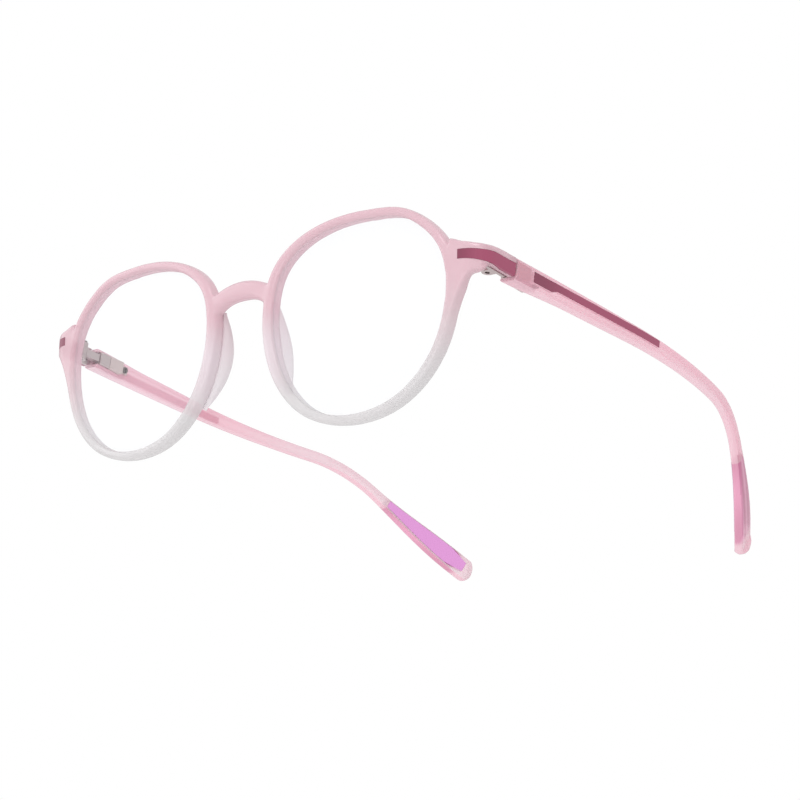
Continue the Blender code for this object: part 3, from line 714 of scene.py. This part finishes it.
def end_grid():
    """The end piece: rounded sections along its plan path, thinner and lower past the corner."""
    last = end_corner()[1]
    along = np.arange(0, last + 12, 0.35)
    place, inward = end_path(along)
    low, top = end_edges(along)
    thin = ease(last - 4, last + 1, along)
    thick = END_FRONT_THICKNESS + (END_SIDE_THICKNESS - END_FRONT_THICKNESS) * thin
    a, b = rounded_section(thick / 2, (top - low) / 2, 0.8)
    middle = place + inward * thick[:, None] / 2
    return np.stack([
        middle[:, :1] + inward[:, :1] * a, middle[:, 1:] + inward[:, 1:] * a,
        (low + top)[:, None] / 2 + b,
    ], -1)


def end_groove_grid():
    """The groove for the end piece's inlay: a plain rectangle along the same path."""
    last = end_corner()[1]
    along = np.arange(FRONT_INLAY_START - ROOM, last + 11, 0.35)
    place, inward = end_path(along)
    share = ease(FRONT_INLAY_START, last + 4, along)
    low, high = FRONT_INLAY_HEIGHT
    half = (low + (high - low) * share) / 2 + ROOM
    z = end_height(along) + FRONT_INLAY_RISE * (1 - share)
    z -= FRONT_INLAY_FALL * ease(last - 1, last + 6, along)
    deep = np.array([-1.0, INLAY_DEPTH + ROOM, INLAY_DEPTH + ROOM, -1.0])
    up = np.array([-1, -1, 1, 1])
    return np.stack([
        place[:, :1] + inward[:, :1] * deep, place[:, 1:] + inward[:, 1:] * deep,
        z[:, None] + half[:, None] * up,
    ], -1)


def front_cutters():
    """What is taken from the moulded front: past the butt, the leaf's seat and the groove."""
    behind = placed(box_mesh((-20, BUTT_Y, -30), (20, 60, 30)), HINGE_OFFSET)
    seat = placed(
        box_mesh(
            (-4, LEAF_SPAN[0] - ROOM, -LEAF_HALF - ROOM),
            (LEAF_BACK_X + ROOM, LEAF_SPAN[1], LEAF_HALF + ROOM),
        ),
        HINGE_OFFSET,
    )
    return behind, seat, grid_mesh(end_groove_grid())


def moulded_front(voxel):
    """Rim, end piece and half bridge melted into one skin, carved, and mirrored."""
    half = with_modifier(
        grid_mesh(rim_grid(), loop=True), "REMESH",
        (grid_mesh(end_grid()), grid_mesh(bridge_grid())), mode="VOXEL", voxel_size=voxel,
    )
    half = with_modifier(half, "SMOOTH", factor=0.5, iterations=SKIN_SMOOTHING)
    half = carved(half, front_cutters())
    work = bmesh.new()
    work.from_mesh(half)
    bmesh.ops.bisect_plane(
        work, geom=work.verts[:] + work.edges[:] + work.faces[:],
        plane_co=(0, 0, 0), plane_no=(-1, 0, 0), clear_outer=True,
    )
    work.to_mesh(half)
    work.clear()
    for mesh in (half, mirror_image(half)):
        work.from_mesh(mesh)
    seam = [v for v in work.verts if abs(v.co.x) < 0.001]
    bmesh.ops.remove_doubles(work, verts=seam, dist=0.001)
    work.to_mesh(half)
    work.free()
    return half


def mark_facing(mesh, sign, slot):
    """Gives the faces that look mostly along x, towards sign, the material in a slot."""
    for face in mesh.polygons:
        if face.normal.x * sign > FACING:
            face.material_index = slot


def mark_butts(mesh):
    """Gives the faces on both butt planes the second material, the painted shadow of the joint:
    those whose middles lie within 0.05 mm of the plane and that face along it."""
    count = len(mesh.polygons)
    middles = np.zeros(count * 3)
    normals = np.zeros(count * 3)
    mesh.polygons.foreach_get("center", middles)
    mesh.polygons.foreach_get("normal", normals)
    middles = middles.reshape(-1, 3)
    normals = normals.reshape(-1, 3)
    slope = math.radians(TEMPLE_SLOPE)
    back = np.array([0, math.cos(slope), -math.sin(slope)])
    gap = (middles - np.array([0, *PIVOT[1:]])) @ back - BUTT_Y
    butt = (np.abs(gap) < 0.05) & (normals @ back > 0.9)
    mesh.polygons.foreach_set("material_index", butt.astype(np.int32))


def lens_grid(rings=20, stations=240):
    """A lens: the outline shrunk by share, domed forwards by LENS_DOME (1 - share^2)."""
    outline, normal = lens_outline(stations)
    share = np.linspace(0.001, 1, rings)[:, None]
    middle = RIM_DEPTH / 2
    rows = []
    for half, shares in ((-1, share), (1, share[::-1])):
        x = LENS_CENTRE_X + outline[None, :, 0] * shares - normal[None, :, 0] * ROOM * shares
        z = outline[None, :, 1] * shares - normal[None, :, 1] * ROOM * shares
        back = middle + half * LENS_THICKNESS / 2 - LENS_DOME * (1 - shares**2)
        rows.append(np.stack([x, front_y(x) + back, z], -1))
    return np.concatenate(rows)


def nose_pad_grid(stations=60):
    """A pad: a rounded wedge behind the rim's nasal edge that swells by the 0.8th power of a
    half sine between its ends."""
    outline, normal = lens_outline(960)
    seat = outline + normal * rim_width(outline)[:, None]
    nasal = (outline[:, 0] < -6) & (seat[:, 1] > PAD_SPAN[0]) & (seat[:, 1] < PAD_SPAN[1])
    order = np.flatnonzero(nasal)
    pick = order[np.round(np.linspace(0, len(order) - 1, stations)).astype(int)]
    share = (seat[pick, 1] - PAD_SPAN[0]) / (PAD_SPAN[1] - PAD_SPAN[0])
    swell = (np.sin(np.pi * np.clip(share, 0.03, 0.97)) ** 0.8)[:, None]
    reach = 0.4 + PAD_REACH * swell
    wide = 1.1 + (PAD_WIDTH - 1.1) * swell
    knots = np.arange(7)
    where = np.linspace(0, 6, 25)
    inward_shares = np.array([0, 0, 0.05, 0.35, 0.65, 0.85, 0.85])
    inward_extra = np.array([-0.1, -0.35, 0, 0, 0, 0, 0])
    back_shares = np.array([0, 0.4, 0.85, 1, 0.9, 0.5, 0])
    inward = wide * natural_spline(knots, inward_shares, where)
    inward = inward + natural_spline(knots, inward_extra, where)
    back = reach * natural_spline(knots, back_shares, where)
    seam = np.full((stations, 2), -PAD_SEAM)
    inward = np.concatenate([inward, inward[:, -1:], inward[:, :1]], 1)
    back = np.concatenate([back, seam], 1)
    x = LENS_CENTRE_X + seat[pick, :1]
    z = seat[pick, 1:]
    base = front_y(x) + RIM_DEPTH
    return np.stack([
        x - normal[pick, :1] * inward, base + back, z - normal[pick, 1:] * inward,
    ], -1)


# ---------------------------------------------------------------- temple


def temple_path(y):
    """Outer x, mid z, tilt, height and thickness along a temple.

    It splays on a line, bows in on a parabola, and bends down on a circle behind the ear.
    """
    bend_end = BEND_START + BEND_RADIUS * math.sin(math.radians(BEND_ANGLE))
    x = TEMPLE_OUTER_X + math.tan(math.radians(TEMPLE_SPLAY)) * (y - BUTT_Y)
    x = x - np.maximum(0, y - TEMPLE_STRAIGHT) ** 2 / (2 * TEMPLE_BOW_RADIUS)
    tilt = np.arcsin(np.clip(y - BEND_START, 0, bend_end - BEND_START) / BEND_RADIUS)
    z = -BEND_RADIUS * (1 - np.cos(tilt)) - np.maximum(0, y - bend_end) * np.tan(tilt)
    tip = ease(BEND_START + 18, TEMPLE_LENGTH - 4, y)
    thin = ease(60, BEND_START + 18, y)
    height = TEMPLE_BUTT_HEIGHT + (TEMPLE_WAIST_HEIGHT - TEMPLE_BUTT_HEIGHT) * ease(BUTT_Y, 80, y)
    height = height + (TIP_HEIGHT - TEMPLE_WAIST_HEIGHT) * tip
    thick = TEMPLE_THICKNESS + (TIP_THICKNESS - TEMPLE_THICKNESS) * thin
    butt = 1 - ease(BUTT_Y, TEMPLE_THINNED_Y, y)
    thick = thick + (TEMPLE_BUTT_THICKNESS - TEMPLE_THICKNESS) * butt
    return x, z, tilt, height, thick


def along_temple(y, inward, up):
    """Section points (inward from the outer face, up its tilted height) at each y."""
    x, z, tilt = (values[:, None] for values in temple_path(y)[:3])
    return np.stack([
        x - inward, y[:, None] + up * np.sin(tilt), z + up * np.cos(tilt),
    ], -1)


def arm_grid():
    """A temple arm: rounded sections along its path, rounded off at the tip by a spline."""
    y = np.linspace(BUTT_Y + BUTT_GAP, TEMPLE_LENGTH, 180)
    height, thick = temple_path(y)[3:]
    a, b = rounded_section(thick / 2, height / 2, 0.95)
    arm = along_temple(y, thick[:, None] / 2 - a, b)
    x, z, tilt, height, thick = (float(v[0]) for v in temple_path(np.array([TEMPLE_LENGTH])))
    reach = np.linspace(0.2, 2.4, 12)
    grow = natural_spline([0, 0.9, 1.8, 2.4], [1, 0.9, 0.68, 0.35], reach)
    a, b = rounded_section(thick / 2 * (0.5 + grow / 2), height / 2 * grow, 0.95)
    cap = np.stack([
        x - thick / 2 + a,
        TEMPLE_LENGTH + reach[:, None] * math.cos(tilt) + b * math.sin(tilt),
        z - reach[:, None] * math.sin(tilt) + b * math.cos(tilt),
    ], -1)
    return np.concatenate([arm, cap])


def inlay_groove_grid():
    """The groove for the outer inlay: a rectangle whose lower side steps up at the step."""
    start, step, end = TEMPLE_INLAY
    y = np.sort(np.append(np.arange(start - ROOM, end, 1.0), [step - 0.3, step + 0.3, end + ROOM]))
    wide, narrow = (h / 2 for h in TEMPLE_INLAY_HEIGHT)
    under = np.where(y < step, wide, 2 * narrow - wide)[:, None]
    corner = np.array([[0, 0, 1, 1]])
    up = np.where(corner == 1, wide + ROOM, -under - ROOM) + TEMPLE_INLAY_RISE
    inward = np.array([[-1.0, INLAY_DEPTH + ROOM, INLAY_DEPTH + ROOM, -1.0]])
    return along_temple(y, np.repeat(inward, len(y), 0), up)


def tip_pad_grid(grow, proud):
    """The tip pad, or its recess: a rectangle on the inner face, narrowing near the tip."""
    y = np.linspace(TIP_PAD_START - grow, TEMPLE_LENGTH - TIP_PAD_END + grow, 40)
    height, thick = temple_path(y)[3:]
    half = (height / 2 - TIP_PAD_MARGIN) * (1 - 0.45 * ease(y[-1] - 4, y[-1], y)) + grow
    floor = thick - TIP_PAD_DEPTH - grow
    up = half[:, None] * np.array([[-1, -1, 1, 1]])
    inward = np.stack([floor, thick + proud, thick + proud, floor], 1)
    return along_temple(y, inward, up)


def arm_cutters():
    """The inlay's groove, the tip pad's recess and the pockets for the spring box."""
    start = BUTT_Y + BUTT_GAP
    return (
        grid_mesh(inlay_groove_grid()),
        grid_mesh(tip_pad_grid(ROOM, 2.0)),
        box_mesh(
            (-6, start - 2, -BOX_HALF - ROOM), (BOX_BACK_X + ROOM, BOX_END + ROOM, BOX_HALF + ROOM)
        ),
        box_mesh(
            (-6, BOX_END - 1, -TONGUE_HALF - ROOM),
            (TONGUE_BACK_X + ROOM, TONGUE_END + ROOM, TONGUE_HALF + ROOM),
        ),
    )


# ---------------------------------------------------------------- operators


class SPECTACLES_OT_front(bpy.types.Operator):
    """Moulds the front and gives it its fading plastic."""

    bl_idname = "spectacles.front"
    bl_label = "Moulded front"

    def execute(self, context):
        settings = context.scene.spectacle_plastic
        voxel = settings.voxel / MM * 1
        mesh = moulded_front(voxel)
        butt = plain("butt_shadow", settings.butt, 0.5)
        front = add_piece(
            "moulded_front", mesh, front_plastic(settings), "front", "frame_plastic",
            "front_frame", crease=55, others=(butt,),
        )
        mark_butts(front.data)
        placed(front.data, FRONT_PLACE)
        return {"FINISHED"}


class SPECTACLES_OT_lenses(bpy.types.Operator):
    """Makes both clear lenses."""

    bl_idname = "spectacles.lenses"
    bl_label = "Lenses"

    def execute(self, context):
        tint = context.scene.spectacle_plastic.lens
        look = plain(
            "lens_clear", tint, 0.04, Alpha=0.05, IOR=1.5, Coat_Weight=0.5, Coat_Roughness=0.03
        )
        mesh = placed(grid_mesh(lens_grid()), FRONT_PLACE)
        for side, sign in SIDES:
            made = mesh if sign > 0 else mirror_image(mesh)
            add_piece(f"clear_lens_{side}", made, look, "front", "lens_plastic", f"{side}_lens")
        return {"FINISHED"}


class SPECTACLES_OT_nose_pads(bpy.types.Operator):
    """Makes both milky nose pads."""

    bl_idname = "spectacles.nose_pads"
    bl_label = "Nose pads"

    def execute(self, context):
        look = pad_plastic(context.scene.spectacle_plastic)
        mesh = placed(grid_mesh(nose_pad_grid()), FRONT_PLACE)
        for side, sign in SIDES:
            made = mesh if sign > 0 else mirror_image(mesh)
            add_piece(f"soft_pad_{side}", made, look, "front", "pad_plastic", f"{side}_nose_pad")
        return {"FINISHED"}


class SPECTACLES_OT_temples(bpy.types.Operator):
    """Makes both temple arms with their grooves and pockets."""

    bl_idname = "spectacles.temples"
    bl_label = "Temple arms"

    def execute(self, context):
        settings = context.scene.spectacle_plastic
        # three copies of one plastic, picked by which way a face looks: top and underside painted
        # lighter, inner faces painted lighter towards the tips, outer faces plain
        edge = temple_look(settings, "temple_edge_lit", (0.35, 0), 0.7, 0.76)
        inner = temple_look(settings, "temple_inner_lit", (0, 1), 0, 0.56)
        outer = temple_look(settings, "temple_outer", (0, 0), 0.9, 0.56)
        mesh = placed(carved(grid_mesh(arm_grid()), arm_cutters()), HINGE_PLACE)
        for side, sign in SIDES:
            made = mesh if sign > 0 else mirror_image(mesh)
            arm = add_piece(
                f"arm_{side}", made, edge, f"{side}_temple", "frame_plastic",
                f"{side}_temple_arm", others=(inner, outer),
            )
            # inner faces get the copy painted lighter towards the tips, outer faces the plain one;
            # top and underside keep the lighter edge copy
            mark_facing(arm.data, -sign, 1)
            mark_facing(arm.data, sign, 2)
        # painted shade: a dark sheet in each arm beside the spring box stands for the shade in the
        # pocket and the box seen through the arm
        low, high = POCKET_SHADE_SHEET
        shade_sheet = placed(box_mesh(low, high), HINGE_PLACE)
        tint = plain("pocket_shade_pink", settings.pocket_shade_colour, 0.4, Alpha=0.8)
        for side, sign in SIDES:
            made = shade_sheet if sign > 0 else mirror_image(shade_sheet)
            add_piece(f"pocket_shade_sheet_{side}", made, tint, f"{side}_temple", "frame_plastic")
        return {"FINISHED"}


class SPECTACLES_OT_trim(bpy.types.Operator):
    """Colours the inlays and the tip pads."""

    bl_idname = "spectacles.trim"
    bl_label = "Inlays and tip pads"

    def execute(self, context):
        settings = context.scene.spectacle_trim
        shader = Shader("inlay_front")
        front_inlay = inlay_with_shade(shader, settings, shader.aside(), FRONT_INLAY_SHADE_X)
        shader = Shader("inlay_temple")
        temple_inlay = inlay_with_shade(shader, settings, shader.place()[1], TEMPLE_INLAY_SHADE_Y)
        tip = plain("tip_orchid", settings.tip, 0.5)
        buried_shade = plain("tip_buried_shade", settings.buried_shade, 0.5)
        for side, sign in SIDES:
            dress(f"{side}_endpiece_inlay", front_inlay)
            dress(f"{side}_temple_inlay", temple_inlay)
            pad = dress(f"{side}_tip_pad", tip)
            pad.materials.append(buried_shade)
            # the pad's outward, buried faces get the painted shade copy
            mark_facing(pad, sign, 1)
        return {"FINISHED"}


class SPECTACLES_OT_hinges(bpy.types.Operator):
    """Gives the hinge parts their metal finishes."""

    bl_idname = "spectacles.hinges"
    bl_label = "Hinges"

    def execute(self, context):
        settings = context.scene.spectacle_trim
        steel = plain("hinge_steel", settings.steel, 0.35, Metallic=1.0)
        dark = plain("screw_dark", settings.screw, 0.35, Metallic=1.0)
        housing = plain("housing_beige", settings.housing, 0.45, Metallic=0.6)
        for side, _ in SIDES:
            for node in ("hinge_leaf", "hinge_slider", "spring_guide"):
                dress(f"{side}_{node}", steel)
            for node in (
                "leaf_screw", "pivot_screw", "slider_nut", "hinge_spring", "housing_screw"
            ):
                dress(f"{side}_{node}", dark)
            dress(f"{side}_spring_housing", housing)
        return {"FINISHED"}


class SPECTACLES_OT_stage(bpy.types.Operator):
    """Adds the pale floor, the soft light and the camera."""

    bl_idname = "spectacles.stage"
    bl_label = "Stage"

    def execute(self, context):
        settings = context.scene.spectacle_stage
        self.add_floor(settings)
        self.add_surround(settings)
        for lamp in LAMPS:
            self.add_light(*lamp)
        self.add_camera()
        context.scene.view_settings.view_transform = "Standard"
        return {"FINISHED"}

    def add_floor(self, settings):
        reach = 3.0
        corners = [(-reach, -reach), (reach, -reach), (reach, reach), (-reach, reach)]
        mesh = bpy.data.meshes.new("floor")
        mesh.from_pydata([(x, y, -settings.floor_depth) for x, y in corners], [], [(0, 1, 2, 3)])
        mesh.materials.append(plain("floor_white", (0.95, 0.95, 0.95), 0.9))
        floor = bpy.data.objects.new("floor", mesh)
        bpy.context.scene.collection.objects.link(floor)

    def add_surround(self, settings):
        """White to look at, and dimmer as a light so that lamps can shape the pieces."""
        world = bpy.data.worlds.new("studio")
        bpy.context.scene.world = world
        world.use_nodes = True
        tree = world.node_tree
        background = tree.nodes["Background"]
        background.inputs["Color"].default_value = (1, 1, 1, 1)
        path = tree.nodes.new("ShaderNodeLightPath")
        strength = tree.nodes.new("ShaderNodeMapRange")
        strength.inputs["To Min"].default_value = settings.surround
        strength.inputs["To Max"].default_value = 1.0
        tree.links.new(path.outputs["Is Camera Ray"], strength.inputs["Value"])
        tree.links.new(strength.outputs["Result"], background.inputs["Strength"])

    def add_light(self, name, place, power, size):
        light = bpy.data.lights.new(name, "AREA")
        light.energy = power
        light.size = size
        lamp = bpy.data.objects.new(name, light)
        lamp.location = place
        lamp.rotation_euler = (LAMP_TARGET - lamp.location).to_track_quat("-Z", "Y").to_euler()
        bpy.context.scene.collection.objects.link(lamp)

    def add_camera(self):
        camera = bpy.data.cameras.new("camera")
        camera.lens = CAMERA_LENS
        camera.sensor_width = 36
        camera.clip_start = 0.01
        viewer = bpy.data.objects.new("camera", camera)
        viewer.location = CAMERA_PLACE
        viewer.rotation_euler = [math.radians(a) for a in CAMERA_TURN]
        bpy.context.scene.collection.objects.link(viewer)
        bpy.context.scene.camera = viewer


OPERATORS = (
    SPECTACLES_OT_front, SPECTACLES_OT_lenses, SPECTACLES_OT_nose_pads, SPECTACLES_OT_temples,
    SPECTACLES_OT_trim, SPECTACLES_OT_hinges, SPECTACLES_OT_stage,
)
SETTINGS = (
    ("spectacle_plastic", PlasticSettings), ("spectacle_trim", TrimSettings),
    ("spectacle_stage", StageSettings),
)


class SPECTACLES_PT_panel(bpy.types.Panel):
    """Lists the pieces and their settings."""

    bl_idname = "SPECTACLES_PT_panel"
    bl_label = "Spectacles"
    bl_space_type = "VIEW_3D"
    bl_region_type = "UI"
    bl_category = "Spectacles"

    def draw(self, context):
        for name, group in SETTINGS:
            for key in group.__annotations__:
                self.layout.prop(getattr(context.scene, name), key)
        for operator in OPERATORS:
            self.layout.operator(operator.bl_idname)


def register():
    for name, group in SETTINGS:
        bpy.utils.register_class(group)
        setattr(bpy.types.Scene, name, PointerProperty(type=group))
    for made in (*OPERATORS, SPECTACLES_PT_panel):
        bpy.utils.register_class(made)


def unregister():
    for made in reversed((*OPERATORS, SPECTACLES_PT_panel)):
        bpy.utils.unregister_class(made)
    for name, group in reversed(SETTINGS):
        delattr(bpy.types.Scene, name)
        bpy.utils.unregister_class(group)


def main():
    register()
    bpy.ops.spectacles.front()
    bpy.ops.spectacles.lenses()
    bpy.ops.spectacles.nose_pads()
    bpy.ops.spectacles.temples()
    bpy.ops.spectacles.trim()
    bpy.ops.spectacles.hinges()
    bpy.ops.spectacles.stage()


if __name__ == "__main__":
    main()
